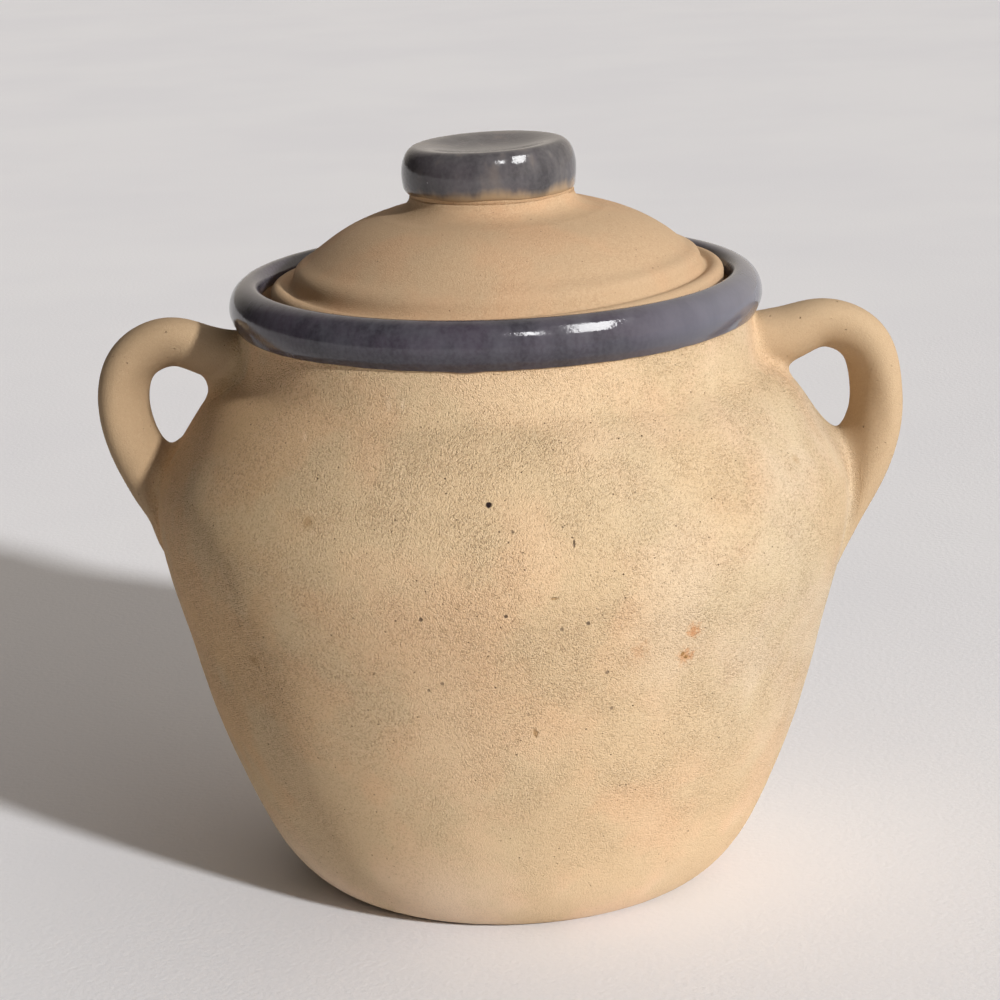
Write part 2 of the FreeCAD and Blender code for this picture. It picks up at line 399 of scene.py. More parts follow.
def makePlacedMark():
    # One mark on the surface: 1 within Size of Place, 0 beyond, with an edge frayed by Fray.
    group, given, out = newGroup("placedMark", [
        ("Vector", "NodeSocketVector", None),
        ("Place", "NodeSocketVector", None),
        ("Stretch", "NodeSocketVector", (1.0, 1.0, 1.0)),
        ("Size", "NodeSocketFloat", 0.001),
        ("Fray", "NodeSocketFloat", 0.5),
        ("Ragged", "NodeSocketFloat", 0.3),
        ("Softness", "NodeSocketFloat", 0.45),
    ], ["Mask"])
    away = addNode(group, "ShaderNodeVectorMath", {0: given.outputs["Vector"], 1: given.outputs["Place"]},
                   operation="SUBTRACT")
    scaled = addNode(group, "ShaderNodeVectorMath", {0: away.outputs[0], 1: given.outputs["Stretch"]},
                     operation="MULTIPLY")
    length = addNode(group, "ShaderNodeVectorMath", {0: scaled.outputs[0]}, operation="LENGTH")
    push = times(group, minus(group, given.outputs["Fray"], 0.5), times(group, given.outputs["Ragged"], 4.0))
    reach = plus(group, maths(group, "DIVIDE", length.outputs["Value"], given.outputs["Size"]), push)
    firm = minus(group, 1.0, given.outputs["Softness"])
    group.links.new(spread(group, reach, firm, 1.0, 1.0, 0.0), out.inputs["Mask"])
    return group


def makeGlazeRun():
    # Glaze that crept down as it melted: noise drawn out along z, with finer mottling over it.
    group, given, out = newGroup("glazeRun", [
        ("Vector", "NodeSocketVector", None),
        ("Scale", "NodeSocketFloat", 180.0),
        ("Drawn Out", "NodeSocketFloat", 0.25),
    ], ["Streak", "Mottle"])
    drawn = addNode(group, "ShaderNodeCombineXYZ", {"X": 1.0, "Y": 1.0, "Z": given.outputs["Drawn Out"]})
    stretched = addNode(group, "ShaderNodeVectorMath", {0: given.outputs["Vector"], 1: drawn.outputs[0]},
                        operation="MULTIPLY")
    streak = addNode(group, "ShaderNodeTexNoise", {"Vector": stretched.outputs[0],
                     "Scale": given.outputs["Scale"], "Detail": 3.0, "Roughness": 0.6})
    mottle = addNode(group, "ShaderNodeTexNoise", {"Vector": given.outputs["Vector"],
                     "Scale": times(group, given.outputs["Scale"], 6.0), "Detail": 2.0})
    group.links.new(spread(group, streak.outputs["Fac"], 0.3, 0.7), out.inputs["Streak"])
    group.links.new(spread(group, mottle.outputs["Fac"], 0.3, 0.7), out.inputs["Mottle"])
    return group


sandGrain = makeSandGrain()
clayPits = makeClayPits()
kilnCloud = makeKilnCloud()
placedMark = makePlacedMark()
glazeRun = makeGlazeRun()


def useGroup(tree, group, inputs):
    return addNode(tree, "ShaderNodeGroup", inputs, node_tree=group)


def newMaterial(name):
    material = bpy.data.materials.new(name)
    material.use_nodes = True
    tree = material.node_tree
    tree.nodes.clear()
    where = tree.nodes.new("ShaderNodeTexCoord").outputs["Object"]
    return material, tree, where


def finishMaterial(tree, colour, roughness, height, depth, values):
    # The surface itself: colour and roughness that vary, a bump of the given depth, plain values.
    bump = addNode(tree, "ShaderNodeBump", {"Height": height, "Strength": 1.0, "Distance": depth})
    inputs = {"Base Color": colour, "Roughness": roughness, "Normal": bump.outputs["Normal"]}
    surface = addNode(tree, "ShaderNodeBsdfPrincipled", {**inputs, **values})
    end = tree.nodes.new("ShaderNodeOutputMaterial")
    tree.links.new(surface.outputs["BSDF"], end.inputs["Surface"])


stoneware = {
    "tan": tone(214, 185, 149),
    "shadedSide": tone(204, 167, 122),     # painted shade: darker and browner on the side towards -x, away from the main light
    "litSide": tone(206, 187, 160),       # painted light: paler on the lit side towards +x
    "warm": tone(213, 175, 136),
    "grey": tone(201, 180, 144),
    "footPale": tone(224, 199, 172),    # paler again at the foot, up to footRise
    "footRise": 0.03,
    "footRough": 0.4,
    "calmShadedTone": tone(186, 160, 128),    # where handling has smoothed it, darker as painted shade
    "calmShadedSide": tone(164, 139, 109), # darker again on the side of -x: painted shade
    "grainDark": tone(132, 101, 68),
    "grainLight": tone(240, 218, 188),
    "grainShare": (0.42, 0.2),          # of the two grain colours, at most
    # The pit tone is painted shade in the pits' hollows.
    "pitShade": tone(92, 68, 46),
    "largePits": (270.0, 0.3, 0.085),   # how many to the metre, share of places filled, size
    "smallPits": (620.0, 0.4, 0.15),
    "pitDepth": 1.5,
    "shadedSideSpan": (-0.01, -0.075),     # along x, in metres
    "litSideSpan": (0.0, 0.07),
    "calmShadedSpan": (-0.05, -0.075),
    "warmCloud": (22.0, 0.05, 0.7),     # scale, sharpness and share of the drift of tone
    "greyCloud": (41.0, 0.12, 0.5),
    "grainScale": 2900.0,
    "grainDepth": 0.00026,
    "calmShare": 0.75,                  # how much less grain there is then
    "roughness": (0.78, 0.95),
}


def stonewareMaterial(name, values, marks=()):
    # The calm attribute is 1 where the clay is smoothed and 0, or missing, where it is as thrown. Where it is
    # 1 the clay also takes a darker tone that is painted shade, darker still towards -x.
    material, tree, where = newMaterial(name)
    across, up = (addNode(tree, "ShaderNodeSeparateXYZ", {"Vector": where}).outputs[way] for way in "XZ")
    # Painted shade: the clay darkens towards -x, away from the main light.
    colour = blendColours(tree, spread(tree, across, *values["shadedSideSpan"]), values["tan"],
                          values["shadedSide"])
    # Painted light: the clay pales towards +x, the lit side.
    colour = blendColours(tree, spread(tree, across, *values["litSideSpan"]), colour, values["litSide"])
    colour = blendColours(tree, spread(tree, up, values["footRise"], 0.0), colour, values["footPale"])
    for key in ("warm", "grey"):
        scale, sharpness, share = values[key + "Cloud"]
        cloud = useGroup(tree, kilnCloud, {"Vector": where, "Scale": scale, "Sharpness": sharpness})
        colour = blendColours(tree, times(tree, cloud.outputs["Mask"], share), colour, values[key])
    calm = addNode(tree, "ShaderNodeAttribute", attribute_name="calm").outputs["Fac"]
    # Smoothed clay takes a darker tone, painted shade, darker again towards -x.
    smoothedAndShaded = blendColours(tree, spread(tree, across, *values["calmShadedSpan"]), values["calmShadedTone"],
                          values["calmShadedSide"])
    colour = blendColours(tree, calm, colour, smoothedAndShaded)
    rough = minus(tree, 1.0, times(tree, calm, values["calmShare"]))
    rough = times(tree, rough, spread(tree, up, 0.0, 0.055, values["footRough"], 1.0))
    grain = useGroup(tree, sandGrain, {"Vector": where, "Scale": values["grainScale"], "Patchiness": 0.6})
    darkMost, lightMost = values["grainShare"]
    dark = spread(tree, grain.outputs["Tone"], 0.5, 0.1, 0.0, darkMost)
    light = spread(tree, grain.outputs["Tone"], 0.5, 0.95, 0.0, lightMost)
    colour = blendColours(tree, times(tree, dark, rough), colour, values["grainDark"])
    colour = blendColours(tree, times(tree, light, rough), colour, values["grainLight"])
    hollow = 0.0
    # Pits are coloured darker: painted shade in their hollows.
    for scale, share, size in (values["largePits"], values["smallPits"]):
        pits = useGroup(tree, clayPits, {"Vector": where, "Scale": scale, "Share": share, "Size": size})
        colour = blendColours(tree, times(tree, pits.outputs["Mask"], rough), colour, values["pitShade"])
        hollow = plus(tree, pits.outputs["Mask"], hollow)
    fray = addNode(tree, "ShaderNodeTexNoise", {"Vector": where, "Scale": 1100.0, "Detail": 4.0,
                   "Roughness": 0.7})
    for mark in marks:
        place = surfacePoint(mark["angle"], mark["height"])
        spot = useGroup(tree, placedMark, {"Vector": where, "Place": place, "Size": mark["size"] * mm,
                        "Stretch": mark["stretch"], "Ragged": mark["ragged"],
                        "Softness": mark["softness"], "Fray": fray.outputs["Fac"]})
        share = times(tree, spot.outputs["Mask"], mark["strength"])
        colour = blendColours(tree, share, colour, mark["colour"])
        if mark["hollow"]:
            hollow = plus(tree, hollow, times(tree, spot.outputs["Mask"], mark["hollow"]))
    height = times(tree, grain.outputs["Height"], rough)
    height = minus(tree, height, times(tree, hollow, values["pitDepth"]))
    roughness = spread(tree, grain.outputs["Tone"], 0.0, 1.0, *values["roughness"])
    finishMaterial(tree, colour, roughness, height, values["grainDepth"], {"Specular IOR Level": 0.22})
    return material


slate = {
    "deep": tone(49, 47, 54),
    "pale": tone(98, 96, 104),
    "purple": tone(74, 64, 76),
    "litGlaze": tone(126, 128, 140),       # painted light: paler on the lit side towards +x
    "litGlazeShare": 0.5,
    "darkerLow": (0.129, 0.1255, 0.6),     # darker lower down: two heights, in metres, and its share
    "bare": tone(171, 138, 104),
    "pinhole": tone(205, 203, 205),
    "runScale": 190.0,
    "streakShare": 0.5,
    "purpleCloud": (60.0, 0.1, 0.5),    # scale, sharpness and share of the drift of tone
    "litGlazeSpan": (0.015, 0.055),        # along x, in metres
    "mottleShare": 0.18,
    "thinFrom": 0.25,
    "bareShare": 0.9,
    "streaked": 0.3,                    # how unevenly it thins out
    "pinholes": (300.0, 0.06, 0.07),    # how many to the metre, share of places filled, size
    "pinholeDepth": 3.0,
    "roughness": (0.06, 0.15),
}


def glazeMaterial(name, values):
    # The thin attribute is 1 where the coat ends and 0 where it has its full thickness.
    material, tree, where = newMaterial(name)
    run = useGroup(tree, glazeRun, {"Vector": where, "Scale": values["runScale"], "Drawn Out": 0.3})
    streak = times(tree, run.outputs["Streak"], values["streakShare"])
    colour = blendColours(tree, streak, values["deep"], values["pale"])
    scale, sharpness, share = values["purpleCloud"]
    cloud = useGroup(tree, kilnCloud, {"Vector": where, "Scale": scale, "Sharpness": sharpness})
    colour = blendColours(tree, times(tree, cloud.outputs["Mask"], share), colour, values["purple"])
    place = addNode(tree, "ShaderNodeSeparateXYZ", {"Vector": where}).outputs
    top, bottom, darker = values["darkerLow"]
    colour = blendColours(tree, spread(tree, place["Z"], top, bottom, 0.0, darker), colour, values["deep"])
    # Painted light: the glaze pales towards +x, the lit side.
    litGlaze = spread(tree, place["X"], *values["litGlazeSpan"], 0.0, values["litGlazeShare"])
    colour = blendColours(tree, litGlaze, colour, values["litGlaze"])
    mottle = times(tree, run.outputs["Mottle"], values["mottleShare"])
    colour = blendColours(tree, mottle, colour, values["pale"])
    thin = addNode(tree, "ShaderNodeAttribute", attribute_name="thin")
    uneven = times(tree, minus(tree, run.outputs["Streak"], 0.5), values["streaked"])
    broken = plus(tree, thin.outputs["Fac"], uneven)
    share = spread(tree, broken, values["thinFrom"], 1.0, 0.0, values["bareShare"])
    colour = blendColours(tree, share, colour, values["bare"])
    scale, share, size = values["pinholes"]
    specks = useGroup(tree, clayPits, {"Vector": where, "Scale": scale, "Share": share, "Size": size})
    colour = blendColours(tree, specks.outputs["Mask"], colour, values["pinhole"])
    pinhole = times(tree, specks.outputs["Mask"], values["pinholeDepth"])
    height = minus(tree, run.outputs["Mottle"], pinhole)
    roughness = spread(tree, run.outputs["Streak"], 0.0, 1.0, *values["roughness"])
    finishMaterial(tree, colour, roughness, height, 0.00001, {"IOR": 1.5})
    return material


pot = {
    "footRadius": 42.0,
    "heel": (49.0, 5.0),
    "bellyHeight": 83.0,
    "creaseRadius": 56.9,
    "creaseHeight": 112.8,
    "neckRadius": 54.7,
    "flank": ((0.19, 0.33), (0.45, 0.62), (0.71, 0.825)),
    "shoulder": ((0.26, 0.065), (0.52, 0.31), (0.77, 0.59), (0.93, 0.86)),
    "wall": 5.5,
    "floor": 7.0,
    "footRing": 7.0,
    "footRecess": 1.2,
    "rollHeight": 127.3,            # widest line of the rolled rim
    "lipHeight": 129.2,             # where its inner side turns straight down
    "crestRadius": 52.2,
    "lipRadius": 50.4,
    "throatRadius": 44.5,
    "galleryThickness": 4.5,
    "columns": 320,
    "recessRounding": 0.8,
    "footRounding": 0.4,
    "seatRounding": 0.8,
    "throatRounding": 0.6,
    "unevenness": 0.16,             # of the thrown wall, in millimetres
    "fineUnevenness": 0.03,
    "evenRuns": (12.0, 8.0),        # both fade out over these heights at the foot and the neck
    "ringDepth": 0.35,              # finger rings left inside
    "ringPitch": 8.5,
    "ringHeights": (10.0, 112.0),
    "ringFades": (10.0, 8.0),
    "linerSunk": 0.1,               # the liner's back lies this far inside the clay
    "linerColumns": 300,
}


def outerRun(values):
    # The thrown outline from the foot's edge up to the neck.
    heel = values["heel"]
    belly = (bellyRadius, values["bellyHeight"])
    crease = (values["creaseRadius"], values["creaseHeight"])
    points = [(values["footRadius"], footHeight), heel, *between(heel, belly, values["flank"]), belly]
    points += [*between(belly, crease, values["shoulder"]), crease, (values["neckRadius"], coatLow)]
    return curveThrough(points, (1.0, 0.35), (-0.1, 1.0), 136)


def rollRun(values):
    # The rolled rim from the neck over the crest to the lip.
    widest = coatRadius - coat
    lip = values["lipRadius"]
    roll = values["rollHeight"]
    neck = (values["neckRadius"], coatLow)
    under = (widest, (coatLow + roll) / 2)
    crest = (values["crestRadius"], rimHeight)
    return joined(quarterArc(neck, under, (widest, roll), 9),
                  quarterArc((widest, roll), (widest, rimHeight), crest, 11),
                  quarterArc(crest, (lip, rimHeight), (lip, values["lipHeight"]), 8))


def innerRun(values, outer, depth, rows):
    # The wall's inside from the axis over the floor up to the underside of the gallery.
    lift = depth - values["wall"]
    corner = (values["footRadius"] - values["wall"], values["floor"] + lift)
    heights = np.array([0.25, 0.45, 0.65, 0.82]) * values["bellyHeight"]
    heights = np.concatenate([heights, [values["bellyHeight"], 92.0, 100.0, 107.0, values["creaseHeight"]]])
    inside = outer + leftNormals(outer) * depth
    picked = np.searchsorted(outer[:, 1], heights)
    throat = np.array([values["throatRadius"], seatHeight - values["galleryThickness"]])
    slope = unit(throat - inside[picked[-1]])
    throat = throat + np.array([-slope[1], slope[0]]) * lift
    side = curveThrough(np.vstack([[corner], inside[picked]]), (1.0, 0.0), slope, rows)
    return joined(straight((0.0, corner[1]), corner, 10), side, straight(side[-1], throat, 8))


potOuter = outerRun(pot)
wallWaves = waves(9, 5, 0.05)
fineWaves = waves(12, 14, 0.35)


def wallRadius(height):
    # Radius of the bare wall at a height; above the neck it goes straight on.
    return np.interp(height, potOuter[:, 1], potOuter[:, 0])


def surfacePoint(angle, height):
    # A point on the wall; the angle is in degrees from the front towards +x.
    turn = math.radians(angle)
    radius = float(wallRadius(height))
    return Vector((radius * math.sin(turn), -radius * math.cos(turn), height)) * mm


def thrownSwell(angle, height):
    # How far the wall stands out from its true outline: slow waves and fine waves, both fading
    # out at the foot and under the rim's glaze.
    low, high = pot["evenRuns"]
    fade = np.clip(height / low, 0, 1) * np.clip((coatLow - height) / high, 0, 1)
    slow = waved(angle, height, wallWaves) * pot["unevenness"]
    fine = waved(angle, height, fineWaves) * pot["fineUnevenness"]
    return fade * (slow + fine)


def makePot():
    footIn = pot["footRadius"] - pot["footRing"]
    recess, inset, edge = pot["footRecess"], pot["recessRounding"], pot["footRounding"]
    foot = joined(straight((0.0, recess), (footIn - inset, recess), 12),
                  quarterArc((footIn - inset, recess), (footIn, recess), (footIn, edge), 5),
                  quarterArc((footIn, edge), (footIn, 0.0), (footIn + edge, 0.0), 4),
                  straight((footIn + edge, 0.0), (pot["footRadius"], 0.0), 8))
    roll = rollRun(pot)
    lip, throat = pot["lipRadius"], pot["throatRadius"]
    under = seatHeight - pot["galleryThickness"]
    seatOut, seatIn = (lip - pot["seatRounding"], seatHeight), (throat + pot["throatRounding"], seatHeight)
    lipFoot, throatTop = (lip, seatHeight + pot["seatRounding"]), (throat, seatHeight - pot["throatRounding"])
    ledge = joined(straight(roll[-1], lipFoot, 4),
                   quarterArc(lipFoot, (lip, seatHeight), seatOut, 4),
                   straight(seatOut, seatIn, 6),
                   quarterArc(seatIn, (throat, seatHeight), throatTop, 4),
                   straight(throatTop, (throat, under), 6))
    inner = innerRun(pot, potOuter, pot["wall"], 56)[::-1]
    outside = joined(foot, potOuter, roll)
    profile = joined(outside, ledge, inner)
    radius, height, angle = roundGrid(profile, pot["columns"])
    isWall = (np.arange(len(profile)) < len(outside))[:, None]
    radius = radius + np.where(isWall, thrownSwell(angle, height), 0.0)
    return skinPiece("potWall", placed(radius, height, angle), "poles")


print("pot outline ready")
rust = tone(186, 112, 44)
speck = tone(38, 26, 26)
brown = tone(150, 112, 62)
chip = tone(240, 216, 182)


def mark(angle, height, size, colour, strength, ragged=0.3, hollow=0.0, stretch=(1.0, 1.0, 1.0),
         softness=0.45):
    return {"angle": angle, "height": height, "size": size, "colour": colour, "strength": strength,
            "ragged": ragged, "hollow": hollow, "stretch": stretch, "softness": softness}


potMarks = [
    mark(-2.4, 99.5, 0.75, speck, 1.0, 0.25, 0.6),
    mark(30.4, 70.6, 2.3, rust, 0.55, 0.7, softness=0.8),
    mark(29.5, 65.2, 2.5, rust, 0.5, 0.7, softness=0.8),
    mark(20.9, 68.5, 2.8, rust, 0.2, 0.7, softness=0.9),
    mark(28.8, 65.7, 0.6, brown, 0.8, 0.5),
    mark(29.5, 64.9, 0.6, brown, 0.8, 0.5),
    mark(-33.1, 95.0, 1.9, brown, 0.45, 0.6, softness=0.8),
    mark(59.9, 97.5, 1.8, brown, 0.3, 0.6, softness=0.8),
    mark(-47.4, 62.9, 1.9, brown, 0.45, 0.6, softness=0.8),
    mark(-23.4, 116.1, 1.1, chip, 0.35, 0.4, 0.0, (1.5, 1.0, 0.5), 0.7),
    mark(-20.3, 116.1, 1.0, chip, 0.35, 0.4, 0.0, (1.5, 1.0, 0.5), 0.7),
    mark(-40.0, 109.2, 1.4, chip, 0.35, 0.4, 0.0, (2.2, 1.0, 0.6), 0.7),
    mark(-0.3, 78.5, 0.45, speck, 0.8, 0.3, 0.6),
    mark(-13.2, 77.9, 0.55, speck, 0.7, 0.3, 0.6),
    mark(12.2, 75.8, 0.5, speck, 0.7, 0.3, 0.6),
    mark(10.6, 92.1, 0.7, speck, 0.7, 0.3, 0.6, (2.5, 1.0, 0.6)),
    mark(3.9, 52.0, 1.1, brown, 0.6, 0.4, 0.5, (1.8, 1.0, 0.8)),
    mark(7.0, 81.6, 0.8, brown, 0.6, 0.4, 0.5, (0.8, 1.0, 2.2)),
    mark(1.2, 94.8, 0.45, speck, 0.5, 0.6, 0.6),
    mark(-13.2, 62.0, 0.45, speck, 0.5, 0.3, 0.6),
    mark(8.1, 75.0, 0.45, speck, 0.5, 0.3, 0.6),
    mark(-10.9, 63.7, 0.5, speck, 0.5, 0.3, 0.6),
    mark(15.6, 64.4, 0.5, speck, 0.5, 0.3, 0.6),
    mark(16.7, 56.0, 0.45, speck, 0.5, 0.3, 0.6),
]
potClay = stonewareMaterial("potStoneware", stoneware, potMarks)
dress(makePot(), potClay, "pot", "pot_body")


def coatThickness(share, edges):
    # The coat's thickness along its run: full in the middle, rounded off like a bead at both ends.
    low, high = edges
    start = np.clip(share / low, 0, 1)
    end = np.clip((1 - share) / high, 0, 1)
    rounded = np.sqrt(1 - (1 - start) ** 2) * np.sqrt(1 - (1 - end) ** 2)
    bead = np.exp(-((share - low) / low) ** 2)
    return coat * rounded * (1 + 0.15 * bead)


rimCoat = {
    "insideDrop": 3.6,              # the coat ends this far below the crest inside the lip
    "edgeWave": 0.28,
    "edgeNick": 0.12,
    "rows": 60,
    "columns": 560,
    "sunk": 0.12,                   # the coat's back lies this far inside the clay
    "roundedEnds": (0.035, 0.06),   # shares of its run over which it rounds off, low and high
    "thinShare": 0.05,              # and over which its colour thins out, low
}
edgeWaves = waves(7, 9, 0.0)
nickWaves = waves(14, 60, 0.0)


def makeRimCoat():
    # The clay's own line is followed from a wavy lower edge over the rim to inside the lip, and
    # the coat is laid on it along its normal. The back follows the same line inside the clay.
    neck = potOuter[potOuter[:, 1] > coatLow - 3.0]
    inside = straight((pot["lipRadius"], pot["lipHeight"]),
                      (pot["lipRadius"], rimHeight - rimCoat["insideDrop"]), 4)
    line = joined(neck, rollRun(pot), inside)
    run = runLengths(line)
    start = np.interp(coatLow, line[:, 1][:len(neck)], run[:len(neck)])
    angle = np.linspace(0.0, 2 * math.pi, rimCoat["columns"], endpoint=False)[None, :]
    edge = start + rimCoat["edgeWave"] * waved(angle, 0.0, edgeWaves)
    edge = edge + rimCoat["edgeNick"] * waved(angle, 0.0, nickWaves)
    share = (0.5 - 0.5 * np.cos(np.linspace(0.0, math.pi, rimCoat["rows"])))[:, None]
    where = edge + (run[-1] - edge) * share
    thick = coatThickness(share, rimCoat["roundedEnds"])
    isEnd = np.abs(share - 0.5) > 0.4999
    thick = thick - rimCoat["sunk"] * isEnd
    front = placed(*offLine(line, where, thick), angle)
    behind = placed(*offLine(line, where, -rimCoat["sunk"]), angle)[::-1][1:-1:3]
    thin = np.clip(1 - share / rimCoat["thinShare"], 0, 1) * np.ones_like(angle)
    thin = np.vstack([thin, np.ones((len(behind), rimCoat["columns"]))])
    return skinPiece("rimCoat", np.vstack([front, behind]), "ring", {"thin": thin})


rimPiece = makeRimCoat()
dress(rimPiece, glazeMaterial("rimGlaze", slate), "pot", "rim_glaze")


def makePotLiner():
    # A coat inside the hollow: out along its back, round its edge and home along its front. The
    # front stands in over a spiral, ringDepth * (1 + cos(2 pi height / ringPitch - angle)) / 2.
    back = innerRun(pot, potOuter, pot["wall"] - pot["linerSunk"], 50)
    front = innerRun(pot, potOuter, pot["wall"] + coat, 150)[::-1]
    radius, height, angle = roundGrid(joined(back, front), pot["linerColumns"])
    isFront = (np.arange(len(radius)) >= len(back))[:, None]
    low, high = pot["ringHeights"]
    lowRun, highRun = pot["ringFades"]
    fade = np.clip((height - low) / lowRun, 0, 1) * np.clip((high - height) / highRun, 0, 1)
    spiral = 0.5 + 0.5 * np.cos(2 * math.pi * height / pot["ringPitch"] - angle)
    radius = radius - isFront * fade * pot["ringDepth"] * spiral
    return skinPiece("potLiner", placed(radius, height, angle), "poles")


linerGlaze = {
    **slate,
    "deep": tone(62, 58, 65),
    "pale": tone(98, 94, 100),
    "runScale": 90.0,
    "litGlazeShare": 0.0,
}
dress(makePotLiner(), glazeMaterial("potLinerGlaze", linerGlaze), "pot", "liner_glaze")

lid = {
    "seatInner": 41.4,
    "edgeHeight": 5.2,
    "beadWidth": 3.6,
    "grooveDepth": 0.4,
    "wall": 5.0,
    "domeRise": 15.6,
    "flareRadius": 24.0,
    "flareRise": 4.0,
    "crownRise": 2.5,
    "dome": ((0.22, 0.075), (0.41, 0.19), (0.639, 0.405), (0.824, 0.638), (0.923, 0.819)),
    "neckRadius": 17.5,
    "underRadii": (42.5, 38.0, 33.5, 29.0, 24.2),
    "linerSunk": 0.1,
    "tilt": 0.011,                  # the dome rises this much towards +x,
    "tiltEdge": 3.0,                # but not so near the outside, and fully a run further in
    "tiltRun": 8.0,
    "edgeRounding": 0.6,            # of the lower outer edge
    "edgeLift": (1.6, 0.8, 0.5),    # the edge wasn't trimmed level: mean, once and twice round
    "liftFrom": 39.5,               # radius where that starts, and how far out it takes to be full
    "liftRun": 6.5,
    "liftRise": 2.3,                # the same upwards, from the lower edge's rounding
    "shift": 0.5,                   # the lid sits this far off the middle along x
    "shiftRun": 20.0,
    "columns": 320,
    "linerColumns": 240,
    "unevenness": 0.1,
    "evenFrom": 44.0,               # radius from which the dome is even outwards
    "evenRun": 8.0,
}
lidWaves = waves(8, 5, 0.12)


def lidLines():
    # The lid's outside in three runs: its edge up to the groove, its dome, its neck and top.
    bead = np.array([lidRadius - lid["beadWidth"] / 2, seatHeight + lid["edgeHeight"]])
    edgeTop = (lidRadius, bead[1] - lid["beadWidth"] / 2)
    groove = (lidRadius - lid["beadWidth"], bead[1] - lid["grooveDepth"])
    flare = (lid["flareRadius"], groove[1] + lid["domeRise"])
    points = np.array([groove, *between(groove, flare, lid["dome"]), flare])
    neckFoot = (lid["neckRadius"], flare[1] + lid["flareRise"] / 4)
    dome = curveThrough(points, (-1.0, 0.6), None, 90)
    seatOut = (lidRadius - lid["edgeRounding"], seatHeight)
    sideFoot = (lidRadius, seatHeight + lid["edgeRounding"])
    edge = joined(straight((lid["seatInner"], seatHeight), seatOut, 6),
                  quarterArc(seatOut, (lidRadius, seatHeight), sideFoot, 4),
                  straight(sideFoot, edgeTop, 4),
                  quarterArc(edgeTop, (lidRadius, bead[1]), bead, 8),
                  easedLine(bead, groove, 8))
    neck = softBend(flare, neckFoot, (lid["neckRadius"], knobFoot), 14)
    top = straight((lid["neckRadius"], knobFoot), (0.0, knobFoot), 8)
    return edge, dome, joined(neck, top)


def lidUnderside(depth):
    # The dome's line moved inwards by depth, from the seat's inner edge to the crown.
    dome = lidLines()[1]
    inside = dome + leftNormals(dome) * depth
    picked = np.searchsorted(-dome[:, 0], -np.array(lid["underRadii"]))
    crown = np.array([0.0, inside[picked[-1], 1] + lid["crownRise"]])
    seat = np.array([lid["seatInner"] - (depth - lid["wall"]), seatHeight])
    return curveThrough(np.vstack([seat, inside[picked], crown]), (-0.35, 1.0), (-1.0, 0.0), 60)


def lidTilt(radius, angle):
    # Lift of the dome towards +x, none at the seat's edge.
    fade = np.clip((lidRadius - lid["tiltEdge"] - radius) / lid["tiltRun"], 0, 1)
    return lid["tilt"] * radius * np.cos(angle) * fade


def edgeLift(radius, height, angle):
    # Lift of the raised edge, mean + once * cos(angle) + twice * cos(2 * angle). It fades in from
    # the foot of the dome and from the foot of the edge's outer side.
    mean, once, twice = lid["edgeLift"]
    outwards = np.clip((radius - lid["liftFrom"]) / lid["liftRun"], 0, 1)
    upwards = np.clip((height - seatHeight - lid["edgeRounding"]) / lid["liftRise"], 0, 1)
    fade = eased(outwards) * upwards
    return fade * (mean + once * np.cos(angle) + twice * np.cos(2 * angle))


def lidPlaced(radius, height, angle):
    # The lid's points, tilted, and moved off the middle everywhere but under the knob.
    lifted = height + lidTilt(radius, angle)
    points = placed(radius, lifted, angle)
    away = np.clip((radius - lid["neckRadius"]) / lid["shiftRun"], 0, 1)
    points[..., 0] += lid["shift"] * eased(away)
    return points


def makeLid():
    edge, dome, top = lidLines()
    under = lidUnderside(lid["wall"])[::-1]
    profile = joined(under, edge, dome, top)
    radius, height, angle = roundGrid(profile, lid["columns"])
    height = height + edgeLift(radius, height, angle)
    isTop = (np.arange(len(profile)) >= len(joined(under, edge)))[:, None]
    swell = waved(angle, radius, lidWaves) * lid["unevenness"]
    fade = np.clip((lid["evenFrom"] - radius) / lid["evenRun"], 0, 1)
    height = height + np.where(isTop, swell * fade, 0.0)
    return skinPiece("lidDome", lidPlaced(radius, height, angle), "poles")


def makeLidLiner():
    back = lidUnderside(lid["wall"] - lid["linerSunk"])
    front = lidUnderside(lid["wall"] + coat)
    radius, height, angle = roundGrid(joined(front[::-1], back), lid["linerColumns"])
    height = height + edgeLift(radius, height, angle)
    return skinPiece("lidLiner", lidPlaced(radius, height, angle), "poles")


# The lid's clay copies the pot's with darker tones; the darkness is painted shade.
lidShadedClay = {
    **stoneware,
    "tan": tone(191, 159, 126),
    "shadedSide": tone(189, 158, 124),
    "litSide": tone(190, 161, 130),
    "warm": tone(191, 153, 118),
    "grey": tone(182, 159, 128),
    "grainShare": (0.18, 0.1),
    "smallPits": (620.0, 0.2, 0.15),
    "grainDepth": 0.00007,
}
dress(makeLid(), stonewareMaterial("lidShadedStoneware", lidShadedClay), "lid", "lid_body")
dress(makeLidLiner(), glazeMaterial("lidLinerGlaze", linerGlaze), "lid", "lid_liner_glaze")

knob = {
    "middle": 4.9,                  # foot to the widest line
    "bare": knobCoatLow - knobFoot,
    "crestRadius": 15.2,
    "dish": 1.8,
    "dishShare": 0.7,
    "tilt": 0.025,
    "shift": -0.4,                  # the knob sits this far off the middle along x
    "leanRun": 2.0,                 # height over which both set in
    "unevenness": 0.004,            # as a share of its radius
    "columns": 224,
    "sunkFoot": 0.05,
    "edgeWave": 0.35,
    "edgeStart": 0.1,
    "fullRun": 1.2,                 # the glaze reaches its thickness over this much of its lower edge
    "thinRun": 3.0,                 # and its colour over this much
    "sunk": 0.12,                   # its back lies this far inside the clay
    "rows": 80,
}
knobWaves = waves(6, 5, 0.3)
knobEdgeWaves = waves(6, 7, 0.0)


